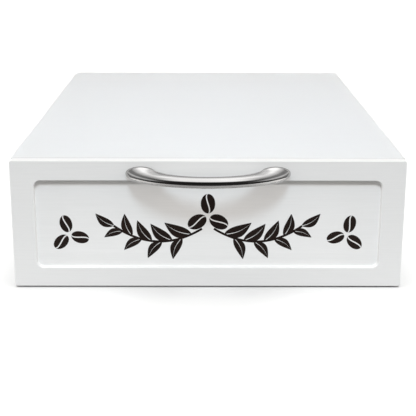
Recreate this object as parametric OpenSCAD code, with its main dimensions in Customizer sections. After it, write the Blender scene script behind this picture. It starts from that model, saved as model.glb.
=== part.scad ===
// Coffee pod drawer: a low painted box with one wide drawer on ball-bearing slides.
// Sizes are in millimetres. +X is to the right and +Y to the back, seen from the front, and +Z is up.
// The origin lies on the table under the middle of the whole object, its handle included.
// Inside the modules y = 0 is the face of the drawer front; place() moves it to the origin's frame.

/* [Overall size] */
// Width of the cabinet and of the drawer front
body_w = 260; // [232:1:330]
// Height of the cabinet and of the drawer front, without the pads
body_h = 87; // [80:1:120]
// Depth from the face of the drawer front to the back of the cabinet
body_d = 370; // [362:1:460]

/* [Boards] */
// Thickness of the cabinet's top, bottom and sides
board_t = 8; // [7.5:0.5:10]
// Thickness of the drawer front
front_t = 8; // [7.5:0.5:12]
// Thickness of the drawer box's sides, back and sub-front
drawer_t = 8; // [7:0.5:10]
// Thickness of the back panel and of the drawer's bottom
sheet_t = 3; // [2.5:0.5:4]
// Gap between the closed drawer front and the cabinet
front_gap = 0.3; // [0.2:0.1:2]
// Rounding of the other boards' edges
ease_r = 0.4; // [0.2:0.1:0.8]
// Radius of the drawer front's outer corners
corner_r = 1.6; // [1.3:0.1:5]
// Rounding of the drawer front's face along its outer edge
edge_r = 0.4; // [0.2:0.1:1.2]

/* [Sunk field of the drawer front] */
// Width of the frame beside the field
frame_side = 15.3; // [14:0.1:22]
// Width of the frame above the field
frame_top = 13.5; // [13:0.1:20]
// Width of the frame below the field
frame_bottom = 13.3; // [8:0.1:20]
// Depth of the field below the frame
field_depth = 4.5; // [1:0.5:5]
// Radius of the field's corners
field_r = 4.5; // [3:0.5:12]

/* [Handle] */
// Distance between the handle's two screws
handle_pitch = 96; // [80:16:160]
// How far the handle stands out from the drawer front
handle_reach = 29.5; // [24:0.5:40]
// Thickness of the grip from front to back at its middle
grip_t = 11.5; // [5:0.5:14]
// Height of the grip at its middle
grip_h = 7.2; // [5:0.1:9]
// Height of the feet where they meet the front
foot_h = 9; // [8:0.1:11]
// Length of a foot outside its screw
foot_outside = 6; // [5:0.1:8]
// Length of a foot inside its screw
foot_inside = 13.8; // [8:0.1:16]
// Distance of the handle's middle line from the top edge of the front
handle_drop = 8.3; // [7:0.1:9]

/* [Drawer box] */
// Gap between the drawer's sides and the cabinet's top
head_space = 10; // [7:1:30]
// Gap between the cabinet's bottom and the drawer's sides
side_lift = 1; // [1:0.5:4]
// Height of the groove for the drawer's bottom above the lower edge
groove_lift = 4; // [3:0.5:8]
// Depth of that groove
groove_depth = 4; // [3:0.5:5]
// Gap behind the drawer box when it is closed
rear_space = 16.8; // [8:0.1:40]

/* [Ball-bearing slides] */
// Width of a slide, from the drawer side to the cabinet side
slide_w = 10; // [10:0.5:12]
// Length of the outer rail
outer_rail_len = 300; // [280:5:330]
// Thickness of the rails' steel
rail_t = 0.9; // [0.8:0.1:1.1]
// Diameter of a ball
ball_d = 3.2; // [3:0.1:3.6]
// Balls in each row
row_balls = 8; // [5:1:9]
// How far the drawer pulls out
travel = 225; // [150:5:228]

/* [Pads] */
// Diameter of a pad under the cabinet
pad_d = 20; // [12:1:26]
// Thickness of a pad
pad_t = 1; // [1:0.5:3]

/* [Hidden] */
$fn = 64;

LEFT = -1;
RIGHT = 1;
FRONT = 0;
REAR = 1;
past = 1;             // how far a cutter runs past the face it opens
fit = 0.05;           // gap round a screw, a dowel or a board in its groove
end_gap = 0.5;        // free depth at the end of a blind hole

// Heights
base_z = pad_t;                               // underside of the cabinet and of the drawer front
floor_z = base_z + board_t;                   // upper face of the bottom board
roof_z = base_z + body_h - board_t;           // lower face of the top board
top_z = base_z + body_h;
field_z0 = base_z + frame_bottom;
field_z1 = top_z - frame_top;
handle_z = top_z - handle_drop;

// Depths
case_y0 = front_t + front_gap;
case_len = body_d - case_y0;
mid_y = (body_d - handle_reach) / 2;

// Widths
inner_x = body_w / 2 - board_t;               // inner face of a cabinet side
drawer_x = inner_x - slide_w;                 // outer face of a drawer side
tub_x = drawer_x - drawer_t;                  // inner face of a drawer side

// Back panel in its rebates
rebate_w = 5;
rebate_gap = 0.2;
rebate_d = sheet_t + rebate_gap;
back_y = body_d - rebate_d;

// Screws: shank, head and length
wood_d = 3;
wood_head = 5.4;
panel_screw_len = 25;
rail_screw_len = 7;
fixing_len = drawer_t + front_t - 2;
sheet_screw_d = 2.5;
sheet_screw_head = 4.6;
sheet_screw_len = 14;
bolt_d = 4;
bolt_head = 8;
bolt_grip = 8;                                // length of the handle's screws inside its feet
case_screw_rows = 3;
case_screw_end = 28;                          // distance of the end screws from the board's ends

// Dowels between the sides and the top
dowel_d = 4;
dowel_up = 5;
dowel_down = 11;
dowel_end = 20;

// Drawer box
tub_z0 = floor_z + side_lift;
tub_z1 = roof_z - head_space;
sub_y1 = front_t + drawer_t;
sub_side_gap = 1;                             // between the sub-front and a cabinet side
sub_x = inner_x - sub_side_gap;
sub_head = 5;                                 // between the sub-front and the cabinet's top
sub_z1 = roof_z - sub_head;
slide_z = (tub_z0 + tub_z1) / 2;              // the slides lie halfway up the drawer's sides
tub_y1 = body_d - rebate_d - rear_space;
groove_z = tub_z0 + groove_lift;
corner_screw_inset = 14;                      // from the upper and lower edges of the sides
fixing_inset = 8;                             // from the upper and lower edges of the sub-front
fixing_edge = 0.3;                            // from a fixing screw's head to the sub-front's edge
fixing_x = sub_x - wood_head / 2 - fixing_edge;

// Slide section: u runs from the drawer side (0) to the cabinet side (slide_w), v is up
ball_r = ball_d / 2;
race_r = ball_r + fit;
ball_u = slide_w / 2;
ball_v = 10.9;                                // height of the ball rows from the middle line
flange_v = ball_v + race_r;                   // inner face of the outer rail's flanges
shelf_v = ball_v - race_r;                    // outer face of the inner rail's flanges
outer_wrap = [90, 205];                       // angles that the outer rail's race covers
inner_wrap = [270, 360];
rail_y0 = sub_y1 + 2;
tab_t = 1;                                    // stop tab and rear lug of the outer rail
tab_v = 4;
tab_u = 1.4;                                  // how far the tab stands out of the web
lug_t = 1.5;                                  // rear lug of the inner rail
bumper_t = 3.7;
bumper_v = 8;
bumper_u = 1.2;
rest_gap = 0.3;                               // between the closed inner rail and the bumper
stop_gap = 0.5;                               // left at each stop when the drawer is fully out
outer_y1 = rail_y0 + outer_rail_len;
bumper_y = outer_y1 - tab_t - bumper_t;
inner_y1 = bumper_y - rest_gap;
rail_screws = 3;
rail_screw_front = 24;
rail_screw_rear = 44;
adjust_w = 4.2;                               // adjusting slots between a rail's screw holes
adjust_len = 9;

// Ball cage
cage_t = 0.5;
cage_space = 0.6;                             // between the cage and the outer rail's web
cage_u1 = slide_w - rail_t - cage_space;
cage_v1 = ball_v + 0.9;
finger_u0 = ball_u - 0.6;                     // the fingers reach just past the balls' middle
notch_r = ball_r + 0.1;
cage_y0 = rail_y0 + tab_t + stop_gap + travel / 2;
cage_y1 = inner_y1 - lug_t - stop_gap - travel / 2;
cage_margin = 4.2;                            // from a cage's end to its first ball
lug_u1 = cage_u1 + 0.1;                       // the inner rail's lug catches the cage's web

// Handle
handle_rings = 48;
ring_sides = 24;
outer_half = handle_pitch / 2 + foot_outside;
inner_half = handle_pitch / 2 - foot_inside;
inner_reach = handle_reach - grip_t;
inner_power = 1.4;                            // flattens the inner side towards the front board
flare_power = 3;                              // keeps the flare in height near the feet
bolt_hole = bolt_grip + 1;

// Pads
pad_inset = 20;

WHITE = [0.94, 0.94, 0.93];
SHEET = [0.86, 0.85, 0.83];
ZINC = [0.74, 0.76, 0.79];
STEEL = [0.80, 0.80, 0.80];
CAGE = [0.60, 0.61, 0.62];
BEECH = [0.80, 0.66, 0.45];
RUBBER = [0.16, 0.16, 0.17];

// ---------------------------------------------------------------- helpers

module place() {
    translate([0, -mid_y, 0]) children();
}

// A box from its lowest to its highest corner
module box(low, high) {
    translate(low) cube(high - low);
}

function spread(first, last, count) = [for (i = [0:count - 1]) first + (last - first) * i / (count - 1)];

// A countersunk screw with its head's face at z = 0 and its shank downwards
module countersunk(shank, head, len, pointed = true) {
    head_h = (head - shank) / 2;
    point = pointed ? shank : 0.4;
    slot_l = 0.55 * head;
    slot_w = 0.14 * head;
    slot_h = 0.6 * head_h;
    difference() {
        union() {
            translate([0, 0, -head_h]) cylinder(d1 = shank, d2 = head, h = head_h);
            translate([0, 0, point - len]) cylinder(d = shank, h = len - point - head_h);
            translate([0, 0, -len]) cylinder(d1 = (pointed ? 0.3 : 0.8) * shank, d2 = shank, h = point);
        }
        for (turn = [0, 90])
            rotate([0, 0, turn]) box([-slot_l / 2, -slot_w / 2, -slot_h], [slot_l / 2, slot_w / 2, past]);
    }
}

// The hole that such a screw fills
module screw_hole(shank, head, len) {
    head_h = (head - shank) / 2;
    translate([0, 0, -head_h]) cylinder(d1 = shank + 2 * fit, d2 = head + 2 * fit, h = head_h);
    cylinder(d = head + 2 * fit, h = past);
    translate([0, 0, -len - end_gap]) cylinder(d = shank + 2 * fit, h = len + end_gap);
}

// A board with rounded corners whose upper face is rounded along its edge
module rounded_board(w, h, t, corner, edge) {
    module edge_profile(span) {
        translate([-span / 2, 0]) square([span, t - edge]);
        translate([edge - span / 2, 0]) square([span - 2 * edge, t]);
        for (s = [-1, 1]) translate([s * (span / 2 - edge), t - edge]) circle(edge);
    }
    translate([corner - w / 2, 0, 0]) rotate([90, 0, 90]) linear_extrude(w - 2 * corner) edge_profile(h);
    translate([0, h / 2 - corner, 0]) rotate([90, 0, 0]) linear_extrude(h - 2 * corner) edge_profile(w);
    for (sx = [-1, 1], sy = [-1, 1])
        translate([sx * (w / 2 - corner), sy * (h / 2 - corner), 0])
            rotate_extrude() intersection() {
                edge_profile(2 * corner);
                square([corner, t]);
            }
}

// A rounded rectangle
module rounded_rect(w, h, r) {
    square([w - 2 * r, h], center = true);
    square([w, h - 2 * r], center = true);
    for (sx = [-1, 1], sy = [-1, 1]) translate([sx * (w / 2 - r), sy * (h / 2 - r)]) circle(r);
}

// A plain board from its lowest to its highest corner, with all its edges eased
module eased_board(low, high) {
    size = high - low;
    translate((low + high) / 2) intersection() {
        linear_extrude(size[2], center = true) rounded_rect(size[0], size[1], ease_r);
        rotate([90, 0, 0]) linear_extrude(size[1], center = true) rounded_rect(size[0], size[2], ease_r);
        rotate([90, 0, 90]) linear_extrude(size[0], center = true) rounded_rect(size[1], size[2], ease_r);
    }
}

// A slot with round ends that lies along x
module obround(len, w) {
    square([len - w, w], center = true);
    for (s = [-1, 1]) translate([s * (len - w) / 2, 0]) circle(d = w);
}

// ---------------------------------------------------------------- where the fasteners are

module at_bottom_screws() {
    for (sx = [LEFT, RIGHT], y = spread(case_y0 + case_screw_end, body_d - case_screw_end, case_screw_rows))
        translate([sx * (inner_x + board_t / 2), y, base_z]) rotate([180, 0, 0]) children();
}

module at_dowels() {
    for (sx = [LEFT, RIGHT], y = spread(case_y0 + dowel_end, body_d - dowel_end, case_screw_rows))
        translate([sx * (inner_x + board_t / 2), y, roof_z]) children();
}

module at_back_screws() {
    edge_x = inner_x + rebate_w / 2;
    half_x = inner_x * 0.8;
    for (sx = [LEFT, RIGHT], z = spread(floor_z + corner_screw_inset, roof_z - corner_screw_inset, 2))
        translate([sx * edge_x, back_y + sheet_t, z]) rotate([-90, 0, 0]) children();
    for (x = spread(-half_x, half_x, case_screw_rows), z = [floor_z - rebate_w / 2, roof_z + rebate_w / 2])
        translate([x, back_y + sheet_t, z]) rotate([-90, 0, 0]) children();
}

module at_fixing_screws() {
    for (sx = [LEFT, RIGHT], z = [tub_z0 + fixing_inset, sub_z1 - fixing_inset])
        translate([sx * fixing_x, sub_y1, z]) rotate([-90, 0, 0]) children();
}

module at_front_corner_screws() {
    for (sx = [LEFT, RIGHT], z = [tub_z0 + corner_screw_inset, tub_z1 - corner_screw_inset])
        translate([sx * (drawer_x - drawer_t / 2), front_t, z]) rotate([90, 0, 0]) children();
}

module at_back_corner_screws() {
    for (sx = [LEFT, RIGHT], z = [tub_z0 + corner_screw_inset, tub_z1 - corner_screw_inset])
        translate([sx * drawer_x, tub_y1 - drawer_t / 2, z]) rotate([0, sx * 90, 0]) children();
}

module at_handle_screws() {
    for (sx = [LEFT, RIGHT])
        translate([sx * handle_pitch / 2, front_t, handle_z]) rotate([-90, 0, 0]) children();
}

function rail_screw_ys() = spread(rail_y0 + rail_screw_front, inner_y1 - rail_screw_rear, rail_screws);

module at_outer_rail_screws(side) {
    for (y = rail_screw_ys())
        translate([side * (inner_x - rail_t), y, slide_z]) rotate([0, -side * 90, 0]) children();
}

module at_rail_slots() {
    ys = rail_screw_ys();
    for (i = [1:rail_screws - 1]) translate([0, (ys[i - 1] + ys[i]) / 2, 0]) children();
}

module at_inner_rail_screws(side) {
    for (y = rail_screw_ys())
        translate([side * (drawer_x + rail_t), y, slide_z]) rotate([0, side * 90, 0]) children();
}

module wood_screw(len) {
    countersunk(wood_d, wood_head, len);
}

module wood_hole(len) {
    screw_hole(wood_d, wood_head, len);
}

// ---------------------------------------------------------------- cabinet

module rebate_cutter() {
    box([-inner_x - rebate_w, back_y, floor_z - rebate_w],
        [inner_x + rebate_w, body_d + past, roof_z + rebate_w]);
}

module bottom_panel() {
    color(WHITE) place() difference() {
        eased_board([-body_w / 2, case_y0, base_z], [body_w / 2, body_d, floor_z]);
        rebate_cutter();
        at_bottom_screws() wood_hole(panel_screw_len);
        at_back_screws() screw_hole(sheet_screw_d, sheet_screw_head, sheet_screw_len);
    }
}

module dowel_hole() {
    translate([0, 0, -dowel_down - end_gap])
        cylinder(d = dowel_d + 2 * fit, h = dowel_down + dowel_up + 2 * end_gap);
}

module top_panel() {
    color(WHITE) place() difference() {
        eased_board([-body_w / 2, case_y0, roof_z], [body_w / 2, body_d, top_z]);
        rebate_cutter();
        at_dowels() dowel_hole();
        at_back_screws() screw_hole(sheet_screw_d, sheet_screw_head, sheet_screw_len);
    }
}

module side_panel(side) {
    color(WHITE) place() difference() {
        eased_board([min(side * inner_x, side * body_w / 2), case_y0, floor_z],
                    [max(side * inner_x, side * body_w / 2), body_d, roof_z]);
        rebate_cutter();
        at_bottom_screws() wood_hole(panel_screw_len);
        at_dowels() dowel_hole();
        at_back_screws() screw_hole(sheet_screw_d, sheet_screw_head, sheet_screw_len);
        at_outer_rail_screws(side) wood_hole(rail_screw_len);
    }
}

module back_panel() {
    margin = rebate_w - rebate_gap;
    color(SHEET) place() difference() {
        box([-inner_x - margin, back_y, floor_z - margin],
            [inner_x + margin, back_y + sheet_t, roof_z + margin]);
        at_back_screws() screw_hole(sheet_screw_d, sheet_screw_head, sheet_screw_len);
    }
}

module top_panel_dowels() {
    color(BEECH) place() at_dowels()
        translate([0, 0, -dowel_down]) cylinder(d = dowel_d, h = dowel_down + dowel_up);
}

module bottom_panel_screws() {
    color(ZINC) place() at_bottom_screws() wood_screw(panel_screw_len);
}

module back_panel_screws() {
    color(ZINC) place() at_back_screws() countersunk(sheet_screw_d, sheet_screw_head, sheet_screw_len);
}

module pad(side, end) {
    x = side * (body_w / 2 - pad_inset);
    y = end == FRONT ? case_y0 + pad_inset : body_d - pad_inset;
    color(RUBBER) place() translate([x, y, 0]) cylinder(d = pad_d, h = pad_t);
}

// ---------------------------------------------------------------- slides

// Puts a slide's u, v section and its depth y on one side of the drawer
module on_side(side) {
    translate([side * drawer_x, 0, slide_z]) mirror([side == LEFT ? 1 : 0, 0, 0]) children();
}

// A box in u, v and y
module slide_box(u, v, y) {
    box([u[0], y[0], v[0]], [u[1], y[1], v[1]]);
}

// The curved part of a rail round one row of balls
module race(angles, y) {
    outer_r = race_r + rail_t;
    reach = 2 * outer_r;
    steps = 4;
    sector = [for (a = spread(angles[0], angles[1], steps + 1)) reach * [cos(a), sin(a)]];
    translate([ball_u, y[1], ball_v]) rotate([90, 0, 0]) linear_extrude(y[1] - y[0]) intersection() {
        difference() {
            circle(outer_r);
            circle(race_r);
        }
        polygon(concat([[0, 0]], sector));
    }
}

module both_rows() {
    for (up = [0, 1]) mirror([0, 0, up]) children();
}

module outer_rail(side) {
    y = [rail_y0, outer_y1];
    web_u = slide_w - rail_t;
    color(ZINC) place() difference() {
        on_side(side) {
            slide_box([web_u, slide_w], [-flange_v - rail_t, flange_v + rail_t], y);
            both_rows() {
                slide_box([ball_u, slide_w], [flange_v, flange_v + rail_t], y);
                race(outer_wrap, y);
            }
            slide_box([web_u - tab_u, slide_w], [-tab_v, tab_v], [rail_y0, rail_y0 + tab_t]);
            slide_box([2 * bumper_u, slide_w], [-bumper_v, bumper_v], [outer_y1 - tab_t, outer_y1]);
        }
        at_outer_rail_screws(side) wood_hole(rail_screw_len);
        on_side(side) at_rail_slots() translate([slide_w / 2, 0, 0]) rotate([90, 0, 90])
            linear_extrude(slide_w / 2 + past) obround(adjust_len, adjust_w);
    }
}

module inner_rail(side) {
    y = [rail_y0, inner_y1];
    color(ZINC) place() difference() {
        on_side(side) {
            slide_box([0, rail_t], [-shelf_v, shelf_v], y);
            both_rows() {
                slide_box([0, ball_u], [shelf_v - rail_t, shelf_v], y);
                race(inner_wrap, y);
            }
            slide_box([0, lug_u1], [-tab_v, tab_v], [inner_y1 - lug_t, inner_y1]);
        }
        at_inner_rail_screws(side) wood_hole(rail_screw_len);
        on_side(side) at_rail_slots() translate([-past, 0, 0]) rotate([0, 90, 0])
            linear_extrude(rail_t + 2 * past) obround(adjust_len, adjust_w);
    }
}

module rail_bumper(side) {
    color(RUBBER) place() on_side(side)
        slide_box([bumper_u, slide_w - rail_t], [-bumper_v, bumper_v], [bumper_y, bumper_y + bumper_t]);
}

function ball_ys() = spread(cage_y0 + cage_margin, cage_y1 - cage_margin, row_balls);

module ball_cage(side) {
    y = [cage_y0, cage_y1];
    color(CAGE) place() on_side(side) difference() {
        union() {
            slide_box([cage_u1 - cage_t, cage_u1], [-cage_v1, cage_v1], y);
            both_rows() slide_box([finger_u0, cage_u1], [cage_v1 - cage_t, cage_v1], y);
        }
        for (ball_y = ball_ys())
            both_rows() translate([ball_u, ball_y, ball_v - ball_r]) cylinder(r = notch_r, h = 2 * ball_r);
    }
}

module slide_balls(side) {
    color(STEEL) place() on_side(side)
        for (ball_y = ball_ys()) both_rows() translate([ball_u, ball_y, ball_v]) sphere(ball_r);
}

module outer_rail_screws(side) {
    color(ZINC) place() at_outer_rail_screws(side) wood_screw(rail_screw_len);
}

module inner_rail_screws(side) {
    color(ZINC) place() at_inner_rail_screws(side) wood_screw(rail_screw_len);
}

// ---------------------------------------------------------------- drawer

module drawer_front() {
    field_w = body_w - 2 * frame_side;
    field_h = field_z1 - field_z0;
    color(WHITE) place() difference() {
        translate([0, front_t, base_z + body_h / 2]) rotate([90, 0, 0])
            rounded_board(body_w, body_h, front_t, corner_r, edge_r);
        translate([0, field_depth, (field_z0 + field_z1) / 2]) rotate([90, 0, 0])
            linear_extrude(field_depth + past) rounded_rect(field_w, field_h, field_r);
        at_handle_screws() screw_hole(bolt_d, bolt_head, front_t + bolt_grip);
        at_fixing_screws() wood_hole(fixing_len);
    }
}

// One ring of the handle: an ellipse between its outer and inner plan curves
function handle_ring(turn) =
    let (along = sin(turn), out = max(0, cos(turn)))
    let (outer = [outer_half * along, -handle_reach * out])
    let (inner = [inner_half * along, -inner_reach * pow(out, inner_power)])
    let (middle = (outer + inner) / 2, reach = (outer - inner) / 2)
    let (half_h = (grip_h + (foot_h - grip_h) * pow(abs(along), flare_power)) / 2)
    [for (i = [0:ring_sides - 1]) let (a = 360 * i / ring_sides)
        [middle[0] + reach[0] * cos(a), middle[1] + reach[1] * cos(a), half_h * sin(a)]];

module bow() {
    rings = [for (i = [0:handle_rings]) handle_ring(-90 + 180 * i / handle_rings)];
    skin = [for (i = [0:handle_rings - 1], j = [0:ring_sides - 1])
        let (a = i * ring_sides, b = (i + 1) * ring_sides, k = (j + 1) % ring_sides)
        each [[a + j, a + k, b + k], [a + j, b + k, b + j]]];
    first_cap = [for (j = [ring_sides - 1:-1:0]) j];
    last_cap = [for (j = [0:ring_sides - 1]) handle_rings * ring_sides + j];
    polyhedron([for (ring = rings) each ring], concat(skin, [first_cap, last_cap]), convexity = 4);
}

module handle() {
    color(STEEL) place() difference() {
        translate([0, 0, handle_z]) bow();
        for (sx = [LEFT, RIGHT])
            translate([sx * handle_pitch / 2, past, handle_z]) rotate([90, 0, 0])
                cylinder(d = bolt_d + 2 * fit, h = bolt_hole + past);
    }
}

module handle_screws() {
    color(ZINC) place() at_handle_screws()
        countersunk(bolt_d, bolt_head, front_t + bolt_grip, pointed = false);
}

module groove_cutter() {
    reach = groove_depth + fit;
    box([-tub_x - reach, sub_y1 - reach, groove_z - fit],
        [tub_x + reach, tub_y1 - drawer_t + reach, groove_z + sheet_t + fit]);
}

module sub_front() {
    color(WHITE) place() difference() {
        eased_board([-sub_x, front_t, tub_z0], [sub_x, sub_y1, sub_z1]);
        groove_cutter();
        at_fixing_screws() wood_hole(fixing_len);
        at_front_corner_screws() wood_hole(panel_screw_len);
    }
}

module front_fixing_screws() {
    color(ZINC) place() at_fixing_screws() wood_screw(fixing_len);
}

module drawer_side(side) {
    color(WHITE) place() difference() {
        eased_board([min(side * tub_x, side * drawer_x), sub_y1, tub_z0],
                    [max(side * tub_x, side * drawer_x), tub_y1, tub_z1]);
        groove_cutter();
        at_front_corner_screws() wood_hole(panel_screw_len);
        at_back_corner_screws() wood_hole(panel_screw_len);
        at_inner_rail_screws(side) wood_hole(rail_screw_len);
    }
}

module drawer_back() {
    color(WHITE) place() difference() {
        eased_board([-tub_x, tub_y1 - drawer_t, tub_z0], [tub_x, tub_y1, tub_z1]);
        groove_cutter();
        at_back_corner_screws() wood_hole(panel_screw_len);
    }
}

module drawer_bottom() {
    color(SHEET) place()
        box([-tub_x - groove_depth, sub_y1 - groove_depth, groove_z],
            [tub_x + groove_depth, tub_y1 - drawer_t + groove_depth, groove_z + sheet_t]);
}

module drawer_front_corner_screws() {
    color(ZINC) place() at_front_corner_screws() wood_screw(panel_screw_len);
}

module drawer_back_corner_screws() {
    color(ZINC) place() at_back_corner_screws() wood_screw(panel_screw_len);
}

// ---------------------------------------------------------------- the nodes

bottom_panel();
top_panel();
side_panel(LEFT);  // left_side_panel
side_panel(RIGHT);  // right_side_panel
back_panel();
top_panel_dowels();
bottom_panel_screws();
back_panel_screws();
pad(LEFT, FRONT);  // front_left_pad
pad(RIGHT, FRONT);  // front_right_pad
pad(LEFT, REAR);  // rear_left_pad
pad(RIGHT, REAR);  // rear_right_pad
outer_rail(LEFT);  // left_outer_rail
outer_rail(RIGHT);  // right_outer_rail
outer_rail_screws(LEFT);  // left_outer_rail_screws
outer_rail_screws(RIGHT);  // right_outer_rail_screws
rail_bumper(LEFT);  // left_rail_bumper
rail_bumper(RIGHT);  // right_rail_bumper
ball_cage(LEFT);  // left_ball_cage
ball_cage(RIGHT);  // right_ball_cage
slide_balls(LEFT);  // left_slide_balls
slide_balls(RIGHT);  // right_slide_balls
drawer_front();
handle();
handle_screws();
sub_front();
front_fixing_screws();
drawer_side(LEFT);  // drawer_left_side
drawer_side(RIGHT);  // drawer_right_side
drawer_back();
drawer_bottom();
drawer_front_corner_screws();
drawer_back_corner_screws();
inner_rail(LEFT);  // left_inner_rail
inner_rail(RIGHT);  // right_inner_rail
inner_rail_screws(LEFT);  // left_inner_rail_screws
inner_rail_screws(RIGHT);  // right_inner_rail_screws
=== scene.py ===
# %% [markdown]
# # A pod drawer: white painted boards, a polished bow handle and two ball-bearing slides
#
# The construction of this drawer is already finished: every board, rail, ball and screw has its real size
# and place. What is left for Blender is how it looks. So each cell below takes one piece or one finish,
# says what it is on the real drawer, and makes it. Sizes are in metres, and MM makes them readable in
# millimetres.

# %% Load the construction
import math

import bmesh
import bpy
from mathutils import Matrix, Vector


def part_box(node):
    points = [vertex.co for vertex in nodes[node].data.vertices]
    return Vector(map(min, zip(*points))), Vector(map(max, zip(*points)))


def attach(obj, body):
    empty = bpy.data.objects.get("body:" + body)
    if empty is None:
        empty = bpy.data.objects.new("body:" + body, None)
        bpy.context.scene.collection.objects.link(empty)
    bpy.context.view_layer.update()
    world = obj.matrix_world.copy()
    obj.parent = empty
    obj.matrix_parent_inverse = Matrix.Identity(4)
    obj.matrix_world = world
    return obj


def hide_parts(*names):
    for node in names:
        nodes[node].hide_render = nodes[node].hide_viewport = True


MM = 0.001
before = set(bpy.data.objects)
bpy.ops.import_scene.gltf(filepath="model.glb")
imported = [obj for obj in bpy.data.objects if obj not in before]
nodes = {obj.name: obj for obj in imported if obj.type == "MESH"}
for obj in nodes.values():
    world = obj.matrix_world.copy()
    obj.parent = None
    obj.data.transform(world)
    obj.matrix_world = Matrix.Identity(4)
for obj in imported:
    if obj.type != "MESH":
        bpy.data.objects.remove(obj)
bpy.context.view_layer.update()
scene = bpy.context.scene

# %% [markdown]
# ## Where the main faces are
#
# Everything that follows is placed against the boards. Their places could be typed in as numbers, but
# places that are read from the construction follow when it changes. The sunk field of the drawer front
# isn't a piece of its own, so it is found by its depth: a probe line is sent at the middle of the front,
# as a finger would touch it, and the points at that depth are the field.

# %% Read the main faces
SAME_PLACE = 0.01 * MM
front_low, front_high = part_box("drawer_front")
handle_low, handle_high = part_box("handle")
face_y = front_low.y
front_middle = (front_low + front_high) / 2
probe_start = Vector((front_middle.x, face_y - 1, front_middle.z))
field_y = nodes["drawer_front"].ray_cast(probe_start, Vector((0, 1, 0)))[1].y
front_points = [vertex.co for vertex in nodes["drawer_front"].data.vertices]
field_points = [point for point in front_points if abs(point.y - field_y) < SAME_PLACE]
field_z0 = min(point.z for point in field_points)
field_z1 = max(point.z for point in field_points)
print("field:", round((field_z1 - field_z0) / MM, 1), "mm high and",
      round((field_y - face_y) / MM, 1), "mm deep")

# %% [markdown]
# ## The camera
#
# The camera looks slightly down at the front, from a good arm's length away. A long lens keeps the sides
# of the box nearly parallel. It could be turned by eye in the viewport. Numbers are kept instead, so that
# the view is the same each time: its place from the middle of the front's lower edge, and then its three
# turns, which are applied in the order pan, tilt and roll.

# %% Set up the camera
camera_right = -3.74 * MM
camera_away = 639.02 * MM
camera_up = 244.25 * MM
camera_pan = math.radians(-0.3325)
camera_tilt = math.radians(16.4906)
camera_roll = math.radians(0.1639)

lens = bpy.data.cameras.new("product_camera")
lens.lens = 87.27
lens.sensor_width = 36
lens.clip_start = 0.01
camera = bpy.data.objects.new("product_camera", lens)
aim = Matrix.Rotation(camera_pan, 4, "Z") @ Matrix.Rotation(math.pi / 2 - camera_tilt, 4, "X")
aim = aim @ Matrix.Rotation(camera_roll, 4, "Z")
camera_place = Vector((camera_right, face_y - camera_away, front_low.z + camera_up))
camera.matrix_world = Matrix.Translation(camera_place) @ aim
scene.collection.objects.link(camera)
scene.camera = camera
print("camera at", [round(part, 3) for part in camera_place])

# %% [markdown]
# ## Sums with sockets
#
# A finish is a sum of small patterns: long streaks plus fine speckle, times a mask. In the node editor,
# each plus and each times is a Math node. A small class makes that readable: it wraps a socket, and
# Python's own signs add the Math nodes. Any other node comes from one method of a second class, which
# stands for the whole tree. The same two classes serve materials and Geometry Nodes.

# %% A value in a node tree
class Value:
    """An output socket that Python can do sums with."""

    def __init__(self, tree, socket):
        self.tree = tree
        self.socket = socket

    def math(self, operation, *others):
        """A Math node on this value and the others, in this order."""
        return self.tree.node("ShaderNodeMath", {"operation": operation}, dict(enumerate((self, *others))))

    def reflected(self, operation, other):
        """A Math node on the other one first and this value second, for 1 - mask and the like."""
        return self.tree.node("ShaderNodeMath", {"operation": operation}, {0: other, 1: self})

    def __add__(self, other):
        return self.math("ADD", other)

    def __sub__(self, other):
        return self.math("SUBTRACT", other)

    def __rsub__(self, other):
        return self.reflected("SUBTRACT", other)

    def __mul__(self, other):
        return self.math("MULTIPLY", other)

    def __truediv__(self, other):
        return self.math("DIVIDE", other)

    def __rtruediv__(self, other):
        return self.reflected("DIVIDE", other)

    def __pow__(self, other):
        return self.math("POWER", other)

    def __rpow__(self, other):
        return self.reflected("POWER", other)

    def __gt__(self, other):
        return self.math("GREATER_THAN", other)

    def __lt__(self, other):
        return self.math("LESS_THAN", other)

    def __abs__(self):
        return self.math("ABSOLUTE")

    __radd__ = __add__
    __rmul__ = __mul__

    def kept_between(self, low, high):
        """This value, but never below low nor above high."""
        return self.math("MAXIMUM", low).math("MINIMUM", high)

    def part(self, axis):
        """The X, Y or Z part of a vector."""
        return self.tree.node("ShaderNodeSeparateXYZ", {}, {0: self}, out=axis)


print("class ready: Value")


# %% The tree itself
class Tree:
    """A node tree that is built from Python."""

    def __init__(self, tree):
        self.tree = tree

    def plug(self, slot, value):
        """Links a value to an input socket, or sets the socket to a plain number, colour or name."""
        if isinstance(value, Value):
            self.tree.links.new(value.socket, slot)
        else:
            slot.default_value = value

    def node(self, kind, settings=None, inputs=None, out=0):
        """Adds a node: its own settings first, then its inputs by name or number. Returns one output."""
        node = self.tree.nodes.new(kind)
        for name, setting in (settings or {}).items():
            setattr(node, name, setting)
        for name, value in (inputs or {}).items():
            self.plug(node.inputs[name], value)
        return Value(self, node.outputs[out])


def vector(tree, x=0.0, y=0.0, z=0.0):
    """Three values as one vector."""
    return tree.node("ShaderNodeCombineXYZ", {}, {"X": x, "Y": y, "Z": z})


def moved(tree, place, way):
    """A place plus a way, both vectors."""
    return tree.node("ShaderNodeVectorMath", {"operation": "ADD"}, {0: place, 1: way})


def rises(value, start, end):
    """Goes from 0 to 1 while a value goes from start to end."""
    return ((value - start) / (end - start)).kept_between(0, 1)


print("class ready: Tree, with its helpers vector, moved and rises")

# %% [markdown]
# ## Patterns that every finish uses
#
# All patterns read Object coordinates, which are the real metres of the drawer. So a streak that is 30 mm
# long in the code is 30 mm long on the board, and it stays where it is when the drawer is turned. A UV
# map could carry the patterns too, but each board would have to be unwrapped for it first. `noise` gives
# each axis its own grain length, which is how one noise makes streaks, speckle or soft clouds.

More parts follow.
